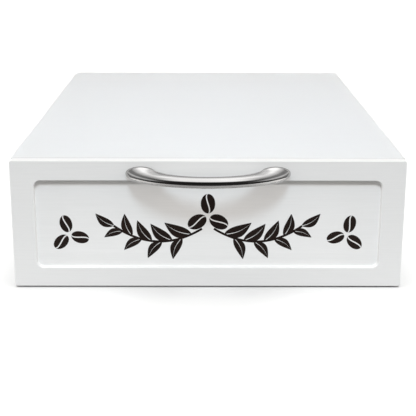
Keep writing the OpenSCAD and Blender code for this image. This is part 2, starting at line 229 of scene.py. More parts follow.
# %% Noise and the start of a material
def place_along(tree, axis):
    """Where a point lies along the X, Y or Z axis of the drawer, in metres."""
    return tree.node("ShaderNodeTexCoord", out="Object").part(axis)


def noise(tree, grain, detail=2.0, shift=(0, 0, 0), place=None):
    """A noise around zero. grain is the length of its lumps along x, y and z, or along an attribute."""
    if place:
        place = tree.node("ShaderNodeAttribute", {"attribute_name": place}, out="Vector")
    else:
        place = tree.node("ShaderNodeTexCoord", out="Object")
    sized = {"Vector": place, "Location": shift, "Scale": [1 / length for length in grain]}
    scaled = tree.node("ShaderNodeMapping", {}, sized)
    return tree.node("ShaderNodeTexNoise", {}, {"Vector": scaled, "Scale": 1.0, "Detail": detail}) - 0.5


def streak(tree, along, length, width, **more):
    """A noise whose lumps are drawn out along one axis: 0 for x, 1 for y and 2 for z."""
    grain = [width] * 3
    grain[along] = length
    return noise(tree, grain, **more)


def opened(material):
    """The tree and the shader of a material."""
    return Tree(material.node_tree), material.node_tree.nodes["Principled BSDF"]


def start_material(name):
    """A new material with its tree and its shader."""
    material = bpy.data.materials.new(name)
    material.use_nodes = True
    return material, *opened(material)


print("patterns ready: noise, streak")


# %% Colour and relief from a pattern
def blend(tree, factor, colour, other):
    """Goes from one colour to another as the factor goes from 0 to 1."""
    return tree.node("ShaderNodeMix", {"data_type": "RGBA"}, {"Factor": factor, 6: colour, 7: other}, out=2)


def tint(tree, shader, colour, share, spread):
    """Lets the base colour go a little darker and lighter, by a pattern around zero."""
    darker = [part * (1 - spread) for part in colour] + [1]
    lighter = [min(1, part * (1 + spread)) for part in colour] + [1]
    tree.plug(shader.inputs["Base Color"], blend(tree, (share + 0.5).kept_between(0, 1), darker, lighter))


def base_colour(tree, shader):
    """What feeds the base colour up to now."""
    return Value(tree, shader.inputs["Base Color"].links[0].from_socket)


def shade(tree, shader, factor, share):
    """Multiplies the base colour by a share, as far as the factor says."""
    clean = base_colour(tree, shader)
    shaded = tree.node("ShaderNodeVectorMath", {"operation": "SCALE"}, {"Vector": clean, "Scale": share})
    tree.plug(shader.inputs["Base Color"], blend(tree, factor, clean, shaded))


def emboss(tree, shader, height, depth):
    """Raises and lowers the surface by a pattern around zero; depth is the height of a value of one."""
    bump = tree.node("ShaderNodeBump", {}, {"Height": height, "Distance": depth})
    tree.plug(shader.inputs["Normal"], bump)


print("colour and relief ready: tint, shade, emboss")

# %% [markdown]
# ## White satin paint
#
# The boards are fibreboard with a sprayed and rubbed-down satin paint. Seen close, it isn't one white.
# Fine streaks run along the board where it was rubbed down, over a slight orange peel from the spray gun.
# The streaks change the colour by one or two parts in a hundred and the gloss by a little more. A plain
# white with an even gloss would be quicker to set, but it looks like plastic.

# %% Paint for a board
PAINT_WHITE = (0.700, 0.702, 0.700)
PAINT_SPREAD = 0.022
SATIN = 0.42
CLOUD = 45 * MM
ORANGE_PEEL = 1.5 * MM


def white_paint(name, along):
    """Satin paint whose rubbing streaks run along one axis."""
    material, tree, shader = start_material(name)
    long_streaks = streak(tree, along, 60 * MM, 1.3 * MM, detail=3)
    short_streaks = streak(tree, along, 16 * MM, 0.6 * MM, shift=(3, 5, 7))
    rubbed = long_streaks + short_streaks
    clouds = noise(tree, [CLOUD] * 3, shift=(11, 2, 4))
    peel = noise(tree, [ORANGE_PEEL] * 3, detail=1, shift=(1, 9, 6))
    tint(tree, shader, PAINT_WHITE, rubbed * 1.2 + clouds * 0.5, PAINT_SPREAD)
    tree.plug(shader.inputs["Roughness"], SATIN + rubbed * 0.10 + clouds * 0.05)
    emboss(tree, shader, rubbed * 0.5 + peel * 0.35, depth=0.03 * MM)
    return material


paint_across = white_paint("white_paint_across", along=0)
paint_deep = white_paint("white_paint_deep", along=1)
paint_front = white_paint("white_paint_front", along=0)
paint_top = white_paint("white_paint_top", along=0)
print("paints:", paint_across.name, paint_deep.name, paint_front.name, paint_top.name)

# %% [markdown]
# ### Light and shade painted into the front's paint
#
# The front is looked at most, so light and shade are painted into its colour as well. The sunk field and all
# that looks up are painted a little whiter than the face: painted light. The corner above the field's lower
# ledge is painted greyer: painted shade. And a thin line on both sides of the joint between the front and
# the top is painted darker: painted shade in the gap. All three depend only on where a point lies and which
# way it faces. They could also be painted by hand on a texture, but sums keep them sharp at any distance.

# %% Painted light, painted corner shade and painted joint shade
PAINTED_LIGHT_SHARE = 0.13
BEHIND_FACE_REACH = 0.6 * MM
CORNER_REACH = 10 * MM
PAINTED_CORNER_SHADE = 0.24
SHADED_CORNER_SHARE = 0.5
JOINT_SHADE_REACH = 0.9 * MM
PAINTED_JOINT_SHADE = 0.35
SHADED_JOINT_SHARE = 0.3


def painted_light_and_corner_shade(material):
    """Painted light on a whiter field and whiter upward faces, and painted shade on a greyer corner above
    the field's lower ledge.
    """
    tree, shader = opened(material)
    upward = tree.node("ShaderNodeNewGeometry", out="True Normal").part("Z").kept_between(0, 1)
    behind_face = rises(place_along(tree, "Y"), face_y, face_y + BEHIND_FACE_REACH)
    # painted light: faces that look up, and the sunk field, are made whiter, as if more light fell on them
    shade(tree, shader, (upward + behind_face) / 2, 1 + PAINTED_LIGHT_SHARE)
    # painted shade: the corner above the field's lower ledge is made greyer
    near_ledge = 1 - rises(place_along(tree, "Z"), field_z0, field_z0 + CORNER_REACH)
    shade(tree, shader, near_ledge * behind_face * (1 - upward) * PAINTED_CORNER_SHADE, SHADED_CORNER_SHARE)


def painted_joint_shade(material, joint_y):
    """Painted shade: a thin darker line on both sides of the plane y = joint_y."""
    tree, shader = opened(material)
    off_joint = abs(place_along(tree, "Y") - joint_y)
    # painted shade: the paint goes darker close to the gap between the front and the top
    shade(tree, shader, (1 - rises(off_joint, 0, JOINT_SHADE_REACH)) * PAINTED_JOINT_SHADE, SHADED_JOINT_SHARE)


joint_y = (front_high.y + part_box("top_panel")[0].y) / 2
painted_light_and_corner_shade(paint_front)
painted_joint_shade(paint_front, joint_y)
painted_joint_shade(paint_top, joint_y)
print("joint between front and top at", round((joint_y - face_y) / MM, 2), "mm behind the face")

# %% [markdown]
# ## Zinc and bearing steel
#
# Zinc plate is a bluish grey metal with a fine drawn grain along the rail. The ball cage is plain pressed
# steel, darker and duller, and the balls are polished. Each could be drawn as a material of its own in
# the node editor. But they differ only in colour, roughness and grain, so one function makes them all.

# %% Metals
UNEVEN = 0.12


def metal(name, colour, rough, grain, depth):
    """A bare metal: grain is the length of its scratches along x, y and z, and depth how deep they go."""
    material, tree, shader = start_material(name)
    scratches = noise(tree, grain, detail=4)
    clouds = noise(tree, [14 * MM] * 3, shift=(4, 8, 1))
    tint(tree, shader, colour, scratches + clouds, spread=0.05)
    tree.plug(shader.inputs["Roughness"], rough + scratches * UNEVEN + clouds * UNEVEN * 0.6)
    emboss(tree, shader, scratches, depth)
    shader.inputs["Metallic"].default_value = 1.0
    return material


along_rail = (0.5 * MM, 40 * MM, 0.5 * MM)
along_cage = (0.4 * MM, 12 * MM, 0.4 * MM)
zinc_rail = metal("zinc_rail", (0.70, 0.72, 0.75), 0.34, along_rail, depth=0.004 * MM)
zinc_screw = metal("zinc_screw", (0.74, 0.75, 0.77), 0.30, [0.9 * MM] * 3, depth=0.004 * MM)
cage_steel = metal("cage_steel", (0.44, 0.45, 0.46), 0.42, along_cage, depth=0.004 * MM)
ball_steel = metal("ball_steel", (0.82, 0.82, 0.83), 0.10, [1.2 * MM] * 3, depth=0.0004 * MM)
print("metals:", zinc_rail.name, zinc_screw.name, cage_steel.name, ball_steel.name)

# %% [markdown]
# ## Polished metal for the bow
#
# The bow is plated and polished lengthwise, so very fine lines run along it, and they follow its bend.
# The bow itself hands them their direction: an attribute that says how far along and how far round a point
# lies. The last millimetre in front of the board is made rougher, and its colour is darkened there as
# painted shade, the shade where the feet meet the board. The polishing wheel leaves a shallow fall from each
# foot towards the grip, which draws out the long highlight on top of the foot. An anisotropic gloss could
# stretch the highlight too, but it would show no lines from near.

# %% Polished metal
BOW_METAL = (0.54, 0.53, 0.52)
BOW_CONTACT_SHADE = (0.16, 0.155, 0.15, 1)
BOW_SPREAD = 0.34
BOW_GLOSS = 0.13
FINE_LINES = (30 * MM, 0.30 * MM, 0.30 * MM)
BROAD_LINES = (18 * MM, 1.1 * MM, 1.1 * MM)
FINE_DEPTH = 0.012 * MM
BROAD_DEPTH = 0.028 * MM
CONTACT_REACH = 1.6 * MM
FALL_REACH = 18 * MM
FALL_DEPTH = 4 * MM


def polished_bow(name, board_y):
    """Polished metal for a bow whose feet stand on the plane y = board_y."""
    material, tree, shader = start_material(name)
    fine = noise(tree, FINE_LINES, detail=4, place="brush_place")
    broad = noise(tree, BROAD_LINES, shift=(5, 2, 7), place="brush_place")
    tint(tree, shader, BOW_METAL, fine * 1.3 + broad * 1.3, BOW_SPREAD)
    off_board = board_y - place_along(tree, "Y")
    clear_of_board = rises(off_board, 0, CONTACT_REACH) ** 1.5
    # painted shade: the colour goes dark in the last 1.6 mm before the board, where the feet meet it; the
    # same mask also makes it rougher
    clean = base_colour(tree, shader)
    tree.plug(shader.inputs["Base Color"], blend(tree, clear_of_board, BOW_CONTACT_SHADE, clean))
    tree.plug(shader.inputs["Roughness"], BOW_GLOSS + fine * 0.10 + broad * 0.06 + (1 - clear_of_board) * 0.2)
    near_foot = 1 - rises(off_board, 0, FALL_REACH)
    relief = near_foot * near_foot * FALL_DEPTH + fine * FINE_DEPTH + broad * BROAD_DEPTH
    emboss(tree, shader, relief, depth=1.0)
    shader.inputs["Metallic"].default_value = 1.0
    return material


polished_metal = polished_bow("polished_bow", handle_high.y)
print("bow finish:", polished_metal.name)

# %% [markdown]
# ## Hardboard, rubber and beech
#
# The back and the drawer's bottom are thin hardboard under white lacquer, with the felt-like fibre just
# showing. The pads and bumpers are rubber, nearly black. The dowels are beech with its grain along them.
# None of them shines, and little of them is seen, so one noise for the grain and one for soft clouds will
# do.

# %% Finishes without shine
def dull(name, colour, rough, grain, spread, depth):
    """A finish without shine, with one grain."""
    material, tree, shader = start_material(name)
    grains = noise(tree, grain, detail=4)
    clouds = noise(tree, [25 * MM] * 3, shift=(6, 3, 2))
    tint(tree, shader, colour, grains + clouds * 0.6, spread)
    tree.plug(shader.inputs["Roughness"], rough + grains * 0.12)
    emboss(tree, shader, grains, depth)
    return material


fibre = [2.5 * MM] * 3
pores = [0.6 * MM] * 3
wood_grain = (0.5 * MM, 0.5 * MM, 7 * MM)
sheet_lacquer = dull("sheet_lacquer", (0.66, 0.66, 0.65), 0.5, fibre, spread=0.05, depth=0.05 * MM)
black_rubber = dull("black_rubber", (0.035, 0.035, 0.038), 0.75, pores, spread=0.3, depth=0.05 * MM)
beech = dull("beech", (0.55, 0.37, 0.20), 0.6, wood_grain, spread=0.25, depth=0.03 * MM)
print("dull finishes:", sheet_lacquer.name, black_rubber.name, beech.name)

# %% [markdown]
# ## Each piece of the construction gets its finish
#
# Most pieces already have their true shape, so they only need their finish. It could be picked piece by
# piece. But the names say what a piece is, so the finish follows from the end of the name, and none is
# forgotten. The painted boards are left for the next step.

# %% Finish the hardware
FINISHES = {"rail": zinc_rail, "screws": zinc_screw, "cage": cage_steel, "balls": ball_steel,
            "pad": black_rubber, "bumper": black_rubber, "dowels": beech, "back_panel": sheet_lacquer,
            "drawer_bottom": sheet_lacquer}
for name, node in nodes.items():
    fitting = [finish for ending, finish in FINISHES.items() if name.endswith(ending)]
    node.data.materials.clear()
    node.data.materials.append(fitting[0] if fitting else paint_across)
print("finished", len(nodes), "pieces")

# %% [markdown]
# ## Boards with eased edges
#
# No painted board has a knife edge. The maker breaks it with sandpaper before the paint, so a thin bright
# line runs along every edge. The construction already rounds the outer edges, but the rim of the sunk
# field and the grooves are still sharp. A Bevel node in the paint could fake the rounding, but the
# outline would stay sharp. So each board is copied, its doubled points are merged, and a Bevel modifier
# rounds the long edges that are left. A loop of sharp edges that is smaller than a fingertip is the rim
# of a screw hole, and it stays sharp. A Weld modifier then merges what came to lie in one place. Last, a
# Weighted Normal modifier keeps the large faces flat in the light, so that only the narrow roundings
# between them catch it.

# %% Find the long edges of a board
SHARP = math.radians(35)
FINGERTIP = 12 * MM


def edge_loops(edges):
    """Groups of edges that touch each other."""
    left = set(edges)
    while left:
        loop = []
        queue = [left.pop()]
        while queue:
            loop.append(queue.pop())
            near = {edge for corner in loop[-1].verts for edge in corner.link_edges} & left
            left -= near
            queue += near
        yield loop


def long_edges(board):
    """The sharp edges of a board, without the rims of its holes."""
    sharp = [edge for edge in board.edges if len(edge.link_faces) == 2 and edge.calc_face_angle(0) > SHARP]
    for loop in edge_loops(sharp):
        points = [corner.co for edge in loop for corner in edge.verts]
        spans = [max(places) - min(places) for places in zip(*points)]
        if max(spans) > FINGERTIP:
            yield from loop


print("an edge counts from a turn of", round(math.degrees(SHARP)), "degrees")

# %% Copy a board without its doubled points
DOUBLED = 0.001 * MM
FLAT = math.radians(0.05)


def merged_copy(node):
    """The mesh of a piece with its doubled points merged and its flat triangles joined."""
    copy = bmesh.new()
    copy.from_mesh(nodes[node].data)
    bmesh.ops.remove_doubles(copy, verts=copy.verts, dist=DOUBLED)
    bmesh.ops.dissolve_limit(copy, angle_limit=FLAT, verts=copy.verts, edges=copy.edges)
    return copy


def plain_mesh(piece):
    """Turns an object's modifiers into plain mesh."""
    bpy.context.view_layer.update()
    made = piece.evaluated_get(bpy.context.evaluated_depsgraph_get())
    piece.data = bpy.data.meshes.new_from_object(made)
    piece.modifiers.clear()


print("helpers ready: merged_copy, plain_mesh")

# %% Ease the edges of a board
EASE = 0.4 * MM
RIM_EASE = 0.6 * MM


def mark_edges(copy):
    """Gives each long edge its share of the rounding: the rim of the field gets most."""
    weight = copy.edges.layers.float.new("bevel_weight_edge")
    for face in copy.faces:
        face.smooth = True
    for edge in copy.edges:
        edge.smooth = edge.calc_face_angle(0) < SHARP
    for edge in long_edges(copy):
        on_face = all(abs(corner.co.y - face_y) < SAME_PLACE for corner in edge.verts)
        edge[weight] = 1.0 if on_face else EASE / RIM_EASE
        edge.smooth = True


def ease(board):
    """Rounds the marked edges of a board and keeps its large faces flat in the light."""
    rounding = board.modifiers.new("eased edges", "BEVEL")
    rounding.limit_method = "WEIGHT"
    rounding.width = RIM_EASE
    rounding.segments = 4
    rounding.use_clamp_overlap = False
    one_place = board.modifiers.new("one place", "WELD")
    one_place.merge_threshold = DOUBLED
    flat_faces = board.modifiers.new("flat faces", "WEIGHTED_NORMAL")
    flat_faces.mode = "FACE_AREA"
    flat_faces.keep_sharp = True
    plain_mesh(board)


def eased_board(node, finish, body):
    """A painted copy of a board with rounded long edges, which stands for the board."""
    copy = merged_copy(node)
    mark_edges(copy)
    board = bpy.data.objects.new("painted_" + node, bpy.data.meshes.new("painted_" + node))
    copy.to_mesh(board.data)
    copy.free()
    scene.collection.objects.link(board)
    board.data.materials.append(finish)
    ease(board)
    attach(board, body)
    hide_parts(node)
    return board


print("edges are eased by", EASE / MM, "mm, the rim of the field by", RIM_EASE / MM, "mm")

# %% The painted boards
CABINET = {"top_panel": paint_top, "bottom_panel": paint_across, "left_side_panel": paint_deep,
           "right_side_panel": paint_deep}
DRAWER = {"drawer_front": paint_front, "sub_front": paint_across, "drawer_back": paint_across,
          "drawer_left_side": paint_deep, "drawer_right_side": paint_deep}
painted = {}
for body, boards in (("cabinet", CABINET), ("drawer", DRAWER)):
    for name, paint in boards.items():
        painted[name] = eased_board(name, paint, body)
        print(painted[name].name, len(painted[name].data.polygons), "faces")

# %% [markdown]
# ## A workshop for Geometry Nodes
#
# Geometry Nodes suit a piece whose shape follows a rule or repeats. Modelled by hand, point by point, it
# would have to be made again for each change. As a tree with named sizes it is changed in one place.
# `grow` runs a tree once with its sizes and keeps the result as plain mesh, which is what a finished
# piece has to be.

# %% Start and end a tree
SOCKETS = {float: "NodeSocketFloat", int: "NodeSocketInt", tuple: "NodeSocketVector"}


def start_growth(name, **sizes):
    """A Geometry Nodes tree with a named input for each size, and those inputs as values."""
    group = bpy.data.node_groups.new(name, "GeometryNodeTree")
    for size, value in sizes.items():
        slot = group.interface.new_socket(size, in_out="INPUT", socket_type=SOCKETS[type(value)])
        slot.default_value = value
    group.interface.new_socket("Finish", in_out="INPUT", socket_type="NodeSocketMaterial")
    group.interface.new_socket("Piece", in_out="OUTPUT", socket_type="NodeSocketGeometry")
    tree = Tree(group)
    given = group.nodes.new("NodeGroupInput")
    return tree, {slot.name: Value(tree, slot) for slot in given.outputs if slot.name}


def end_growth(tree, shape, finish):
    """Ends a tree: smooth shading, real copies and the finish."""
    smooth = tree.node("GeometryNodeSetShadeSmooth", {}, {"Geometry": shape})
    real = tree.node("GeometryNodeRealizeInstances", {}, {"Geometry": smooth})
    done = tree.node("GeometryNodeSetMaterial", {}, {"Geometry": real, "Material": finish})
    out = tree.tree.nodes.new("NodeGroupOutput")
    tree.plug(out.inputs["Piece"], done)


def joined(tree, shapes):
    """All shapes as one geometry."""
    join = tree.tree.nodes.new("GeometryNodeJoinGeometry")
    for shape in shapes:
        tree.plug(join.inputs["Geometry"], shape)
    return Value(tree, join.outputs["Geometry"])


print("helpers ready: start_growth, end_growth, joined")

# %% Grow a piece
def grow(tree, name, finish, **sizes):
    """Runs a tree on an empty object with these sizes, and keeps the result as plain mesh."""
    piece = bpy.data.objects.new(name, bpy.data.meshes.new(name))
    scene.collection.objects.link(piece)
    growth = piece.modifiers.new("growth", "NODES")
    growth.node_group = tree.tree
    for slot in tree.tree.interface.items_tree:
        if slot.in_out == "INPUT" and slot.name in sizes:
            growth[slot.identifier] = sizes[slot.name]
        if slot.name == "Finish":
            growth[slot.identifier] = finish
    plain_mesh(piece)
    piece.data.shade_smooth()
    piece.data.set_sharp_from_angle(angle=SHARP)
    print(name, len(piece.data.polygons), "faces")
    return piece


print("helper ready: grow")

# %% [markdown]
# ## The bow handle
#
# The handle is a cast bar that leans out from two broad feet to a slim grip. Its shape follows a rule.
# Seen from above, its outer side is half an ellipse, and its inner side is a lower one that is flattened
# towards the board. At each place along the bow its section is an ellipse that just fits between the two,
# and it gets taller towards the feet. A section that is swept along a curve could only swell evenly. So a
# flat grid is bent into shape instead: one way of the grid runs along the bow and the other way runs
# round the section. Its first and last columns shrink to a point in the foot's face, which closes the
# skin.

# %% The rule of the bow: where a column of the grid stands
tree, size = start_growth("bow_handle", rings=96, sides=48, outer_half=50 * MM, inner_half=35 * MM,
                          reach=30 * MM, inner_reach=22 * MM, flattening=1.4, grip_height=7 * MM,
                          foot_height=9 * MM, flare=3.0, foot_middle=(0.0, 0.0, 0.0))
grid_size = {"Size X": 1.0, "Size Y": 1.0, "Vertices X": size["rings"] + 3, "Vertices Y": size["sides"] + 1}
grid = tree.node("GeometryNodeMeshGrid", {}, grid_size, out="Mesh")
grid_place = tree.node("GeometryNodeInputPosition")
across_grid = grid_place.part("X")
round_grid = grid_place.part("Y")
column = 1 / (size["rings"] + 2)
turn = (across_grid / (1 - 2 * column)).kept_between(-0.5, 0.5) * math.pi
open_ring = abs(across_grid) < 0.5 - column / 2
along = turn.math("SINE")
out_of_board = turn.math("COSINE").math("MAXIMUM", 0)
print("bow grid:", len(tree.tree.nodes), "nodes so far")

# %% The rule of the bow: the section at each column
outer_x = size["outer_half"] * along
outer_y = -1 * size["reach"] * out_of_board
inner_x = size["inner_half"] * along
inner_y = -1 * size["inner_reach"] * out_of_board ** size["flattening"]
taller = (size["foot_height"] - size["grip_height"]) * abs(along) ** size["flare"]
section_height = size["grip_height"] + taller

angle = round_grid * 2 * math.pi
side = angle.math("COSINE") * open_ring / 2
rise = angle.math("SINE") * open_ring / 2
ring_x = (outer_x + inner_x) / 2 + (outer_x - inner_x) * side
ring_y = (outer_y + inner_y) / 2 + (outer_y - inner_y) * side
on_ring = moved(tree, vector(tree, ring_x, ring_y, section_height * rise), size["foot_middle"])
skin = tree.node("GeometryNodeSetPosition", {}, {"Geometry": grid, "Position": on_ring})
brush_place = vector(tree, turn * size["outer_half"], side * size["foot_height"], rise * size["foot_height"])
marked = tree.node("GeometryNodeStoreNamedAttribute", {"data_type": "FLOAT_VECTOR", "domain": "POINT"},
                   {"Geometry": skin, "Name": "brush_place", "Value": brush_place})
closed = tree.node("GeometryNodeMergeByDistance", {}, {"Geometry": marked, "Distance": 0.005 * MM})
end_growth(tree, closed, size["Finish"])
bow_tree = tree
print("bow tree:", len(tree.tree.nodes), "nodes")

# %% Measure the handle with probe lines, as with a caliper
FEELER = 0.3 * MM


def probe(node, start, direction):
    """Where a line first touches a piece of the construction."""
    return nodes[node].ray_cast(Vector(start), Vector(direction))[1]


foot_middle = Vector(((handle_low.x + handle_high.x) / 2, handle_high.y, (handle_low.z + handle_high.z) / 2))
inner_half = probe("handle", foot_middle - Vector((0, FEELER, 0)), (1, 0, 0)).x - foot_middle.x
inner_reach = foot_middle.y - probe("handle", foot_middle, (0, -1, 0)).y
grip_middle = foot_middle - Vector((0, (handle_high.y - handle_low.y + inner_reach) / 2, 0))
grip_height = 2 * (probe("handle", grip_middle, (0, 0, 1)).z - foot_middle.z)
measured = (inner_half, inner_reach, grip_height)
print("handle:", [round(measure / MM, 2) for measure in measured], "mm")

# %% Grow the handle
handle = grow(bow_tree, "bow_handle", polished_metal, outer_half=(handle_high.x - handle_low.x) / 2,
              inner_half=inner_half, reach=handle_high.y - handle_low.y, inner_reach=inner_reach,
              grip_height=grip_height, foot_height=handle_high.z - handle_low.z, foot_middle=foot_middle)
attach(handle, "drawer")
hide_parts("handle")

# %% [markdown]
# ## The print on the front
#
# A print is a film of ink, a twentieth of a millimetre thick, that lies on the sunk field. It could be a
# picture in the board's paint, but a picture turns to dots from near, so the film is a real shape. Each
# leaf and each bean has two halves with a bare line between them. Such a half follows a rule: an outer
# line and an inner line, both given along its length. So a grid becomes a half. One way of the grid runs
# along it, and the other way has only four corners, which go round the film: outer front, inner front,
# inner back and outer back. The upper half goes round the other way than the lower one, so its faces are
# flipped to point out.

# %% Ink
INK_BROWN = (0.0115, 0.0058, 0.0042)
INK_FILM = 0.05 * MM
STEM_FILM = 0.06 * MM


def ink(name):
    """Dark brown screen ink, a little thinner here and there."""
    material, tree, shader = start_material(name)
    mesh_marks = noise(tree, [0.5 * MM] * 3)
    thin_places = noise(tree, [9 * MM] * 3, shift=(2, 2, 8))
    tint(tree, shader, INK_BROWN, mesh_marks + thin_places, spread=0.35)
    tree.plug(shader.inputs["Roughness"], 0.55 + thin_places * 0.12)
    shader.inputs["Specular IOR Level"].default_value = 0.22
    emboss(tree, shader, mesh_marks, depth=0.01 * MM)
    return material


brown_ink = ink("brown_ink")
print("ink:", brown_ink.name)


# %% A half of a leaf or bean
CORNERS = 4
TO_NEXT = 1 / CORNERS


def film_grid(tree, steps):
    """A grid for a film, the place along it, and two masks: on the inner line and on the back."""
    grid_size = {"Size X": 1.0, "Size Y": 1.0, "Vertices X": steps, "Vertices Y": CORNERS + 1}
    grid = tree.node("GeometryNodeMeshGrid", {}, grid_size, out="Mesh")
    grid_place = tree.node("GeometryNodeInputPosition")
    corner = grid_place.part("Y")
    on_inner = abs(corner + TO_NEXT / 2) < TO_NEXT
    on_back = abs(corner - TO_NEXT / 2) < TO_NEXT
    return grid, grid_place.part("X") + 0.5, on_inner, on_back


def film_half(tree, grid, side, length_line, outer, inner, on_inner, on_back):
    """Bends the grid into a closed film between its outer and inner line, with its faces pointing out."""
    across = on_inner * inner + (1 - on_inner) * outer
    corners = vector(tree, length_line, on_back * INK_FILM, across)
    bent = tree.node("GeometryNodeSetPosition", {}, {"Geometry": grid, "Position": corners})
    if side > 0:
        bent = tree.node("GeometryNodeFlipFaces", {}, {"Mesh": bent})
    return tree.node("GeometryNodeMergeByDistance", {}, {"Geometry": bent, "Distance": 0.002 * MM})


print("a film has", CORNERS, "corners all round and is", INK_FILM / MM, "mm thick")

# %% [markdown]
# ### Beans in threes
#
# Three beans lie round a middle like the leaves of a clover. The bare line of a bean is one wave of a
# sine. One bean is made and then set on three points, as one stamp is used three times.

# %% The rule of the beans
tree, size = start_growth("three_beans", length=14 * MM, width=9.6 * MM, line=0.9 * MM, wave=0.11, blunt=0.4,
                          turn=0.0, spread=2.1, off_middle=9 * MM, middle=(0.0, 0.0, 0.0))
halves = []
for side in (1, -1):
    grid, along, on_inner, on_back = film_grid(tree, 33)
    swing = (along - 0.5) * math.pi
    bare_line = side * size["line"] / 2 * swing.math("COSINE") ** size["blunt"]
    inner_line = (swing * 2).math("SINE") * size["width"] * size["wave"] + bare_line
    outer_line = side * size["width"] / 2 * swing.math("COSINE")
    length_line = size["length"] / 2 * swing.math("SINE")
    halves.append(film_half(tree, grid, side, length_line, outer_line, inner_line, on_inner, on_back))
bean = joined(tree, halves)
three = tree.node("GeometryNodeMeshLine", {"mode": "OFFSET"}, {"Count": 3, "Offset": (0, 0, 0)})
which = tree.node("GeometryNodeInputIndex") - 1
heading = math.pi / 2 + size["turn"] + which * size["spread"]
spoke_x = heading.math("COSINE") * size["off_middle"]
spoke_z = heading.math("SINE") * size["off_middle"]
seat = moved(tree, vector(tree, x=spoke_x, z=spoke_z), size["middle"])
three = tree.node("GeometryNodeSetPosition", {}, {"Geometry": three, "Position": seat})
lean = vector(tree, y=heading * -1)
beans = tree.node("GeometryNodeInstanceOnPoints", {}, {"Points": three, "Instance": bean, "Rotation": lean})
end_growth(tree, beans, size["Finish"])
beans_tree = tree
print("beans tree:", len(tree.tree.nodes), "nodes")

# %% [markdown]
# ### A leafy sprig
#
# The stem is a curve with one bend. The leaves stand on it in turn, above and below, and get shorter
# towards the tip, where the last one points straight on. They could be placed by hand, but a curve can be
# asked for its place and its heading at each step, and so the leaves follow when the stem is bent. A leaf
# bends a little back to the stem, so there are two shapes, one for each side. The sprig on the left is
# the same one mirrored. A mirror turns faces inwards, so they are flipped.

# %% The rule of the sprig: the stem and the leaves' places
LEAVES = 9
tree, size = start_growth("leafy_sprig", leaf=20.5 * MM, leaf_width=8.2 * MM, line=0.6 * MM, belly=0.8,
                          blunt=0.95, bow=0.10, shorter=0.28, below_shorter=0.15, spread=0.87,
                          first_leaf=0.13, stem=1.5 * MM, root=(0.0, 0.0, 0.0), bend=(0.0, 0.0, 0.0),
                          tip=(0.0, 0.0, 0.0), mirror=1.0)
stem_line = {"Resolution": 48, "Start": size["root"], "Middle": size["bend"], "End": size["tip"]}
stem = tree.node("GeometryNodeCurveQuadraticBezier", {}, stem_line)
number = tree.node("GeometryNodeInputIndex")
share = size["first_leaf"] + number * (1 - size["first_leaf"]) / (LEAVES - 1)
at_share = {"Curves": stem, "Factor": share}
spot = tree.node("GeometryNodeSampleCurve", {"mode": "FACTOR"}, at_share, out="Position")
tangent = tree.node("GeometryNodeSampleCurve", {"mode": "FACTOR"}, at_share, out="Tangent")
leaf_points = tree.node("GeometryNodeMeshLine", {"mode": "OFFSET"}, {"Count": LEAVES, "Offset": (0, 0, 0)})
leaf_points = tree.node("GeometryNodeSetPosition", {}, {"Geometry": leaf_points, "Position": spot})
below = number.math("MODULO", 2)
is_last = number > LEAVES - 1.5
off_stem = (1 - 2 * below) * (1 - is_last) * size["spread"]
leaf_heading = tangent.part("Z").math("ARCTAN2", tangent.part("X")) + off_stem
leaf_turn = vector(tree, y=leaf_heading * -1)
leaf_scale = (1 - size["shorter"] * share) * (1 - size["below_shorter"] * below)
leaf_sizes = vector(tree, leaf_scale, 1.0, leaf_scale)
print(LEAVES, "leaves on a stem")

# %% The rule of the sprig: the leaves and the stem's film
parts = []
for way, chosen in ((-1, 1 - below), (1, below)):
    halves = []
    for side in (1, -1):
        grid, along, on_inner, on_back = film_grid(tree, 29)
        midrib = size["leaf"] * size["bow"] * way * (along * math.pi).math("SINE")
        bare = midrib + side * size["line"] / 2 * (1 - along).math("MAXIMUM", 0)
        fullness = (along ** size["belly"] * math.pi).math("SINE").math("MAXIMUM", 0) ** size["blunt"]
        blade = bare + side * size["leaf_width"] / 2 * fullness
        halves.append(film_half(tree, grid, side, size["leaf"] * along, blade, bare, on_inner, on_back))
    leaves = {"Points": leaf_points, "Selection": chosen, "Instance": joined(tree, halves),
              "Rotation": leaf_turn, "Scale": leaf_sizes}
    parts.append(tree.node("GeometryNodeInstanceOnPoints", {}, leaves))
stem_sides = {"Width": STEM_FILM, "Height": size["stem"]}
stem_section = tree.node("GeometryNodeCurvePrimitiveQuadrilateral", {}, stem_sides)
stem_film = {"Curve": stem, "Profile Curve": stem_section, "Fill Caps": True}
parts.append(tree.node("GeometryNodeCurveToMesh", {}, stem_film))
sprig = tree.node("GeometryNodeRealizeInstances", {}, {"Geometry": joined(tree, parts)})
mirror = vector(tree, size["mirror"], 1.0, 1.0)
sprig = tree.node("GeometryNodeTransform", {}, {"Geometry": sprig, "Scale": mirror})
sprig = tree.node("GeometryNodeFlipFaces", {}, {"Mesh": sprig, "Selection": size["mirror"] < 0})
end_growth(tree, sprig, size["Finish"])
sprig_tree = tree
print("sprig tree:", len(tree.tree.nodes), "nodes")

# %% Print the sprigs and the beans
STANDS_OUT = 0.8
PRINT_Y = field_y - INK_FILM * STANDS_OUT
PRINT_Z = field_z0 + 24 * MM


def on_field(x, z):
    """A place on the field, from its middle line and from the print's own base line."""
    return (front_middle.x + x * MM, PRINT_Y, PRINT_Z + z * MM)


